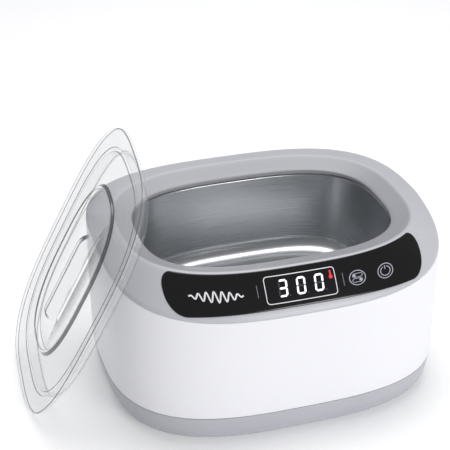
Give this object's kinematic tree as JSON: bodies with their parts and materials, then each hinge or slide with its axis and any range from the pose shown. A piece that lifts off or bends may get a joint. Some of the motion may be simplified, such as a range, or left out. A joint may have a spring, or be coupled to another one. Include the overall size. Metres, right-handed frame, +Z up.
{
  "type": "ultrasonic cleaner",
  "caption": "Bench-top ultrasonic cleaner: oval casing, dished deck, sloped touch panel, steel tank with bonded transducer, and a clear lift-off lid leaning on its side.",
  "frame": {"origin": "centre of the casing's plan on the plane the rubber feet stand on", "axes": "+Z up, -Y towards the user at the control panel, +X along the casing's width to the user's right"},
  "size_m": [0.2977, 0.1976, 0.1867],
  "materials": {
    "base_tray": "satin",
    "body_shell": "satin",
    "top_deck": "satin",
    "control_panel": "gloss",
    "display_module": "satin",
    "touch_board": "satin",
    "touch_springs": "bright",
    "touch_board_screws": "bright",
    "tank": "satin",
    "tank_seal": "matt",
    "tank_clips": "satin",
    "clip_screws": "bright",
    "front_mass": "machined",
    "piezo_rings": "matt",
    "electrodes": "bright copper",
    "back_mass": "machined",
    "preload_bolt": "oiled",
    "heater_mat": "matt",
    "thermal_cutout": "matt",
    "power_board": "satin",
    "power_board_screws": "bright",
    "transformer": "matt",
    "heat_sink": "extruded",
    "power_transistors": "matt",
    "capacitors": "gloss sleeve",
    "choke": "enamelled wire",
    "relay": "satin",
    "fuse": "clear",
    "inlet_socket": "satin",
    "inlet_pins": "nickel",
    "mains_leads": "satin",
    "transducer_leads": "satin",
    "heater_leads": "satin",
    "panel_lead": "satin",
    "rubber_feet": "matt",
    "casing_screws": "bright",
    "lid": "clear moulded plastic"
  },
  "bodies": {
    "housing": {"base_tray": "base_tray", "body_shell": "body_shell", "top_deck": "top_deck", "control_panel": "control_panel", "display_module": "display_module", "touch_board": "touch_board", "touch_springs": "touch_springs", "touch_board_screws": "touch_board_screws", "tank": "tank", "tank_seal": "tank_seal", "tank_clips": "tank_clips", "clip_screws": "clip_screws", "front_mass": "front_mass", "piezo_rings": "piezo_rings", "electrodes": "electrodes", "back_mass": "back_mass", "preload_bolt": "preload_bolt", "heater_mat": "heater_mat", "thermal_cutout": "thermal_cutout", "power_board": "power_board", "power_board_screws": "power_board_screws", "transformer": "transformer", "heat_sink": "heat_sink", "power_transistors": "power_transistors", "capacitors": "capacitors", "choke": "choke", "relay": "relay", "fuse": "fuse", "inlet_socket": "inlet_socket", "inlet_pins": "inlet_pins", "mains_leads": "mains_leads", "transducer_leads": "transducer_leads", "heater_leads": "heater_leads", "panel_lead": "panel_lead", "rubber_feet": "rubber_feet", "casing_screws": "casing_screws"},
    "lid": {"lid": "lid"}
  },
  "joints": [
    {"name": "lid_lift", "type": "slide", "parent": "housing", "child": "lid", "axis": [0, 0, 1], "range_m": [0, 0.15]}
  ]
}
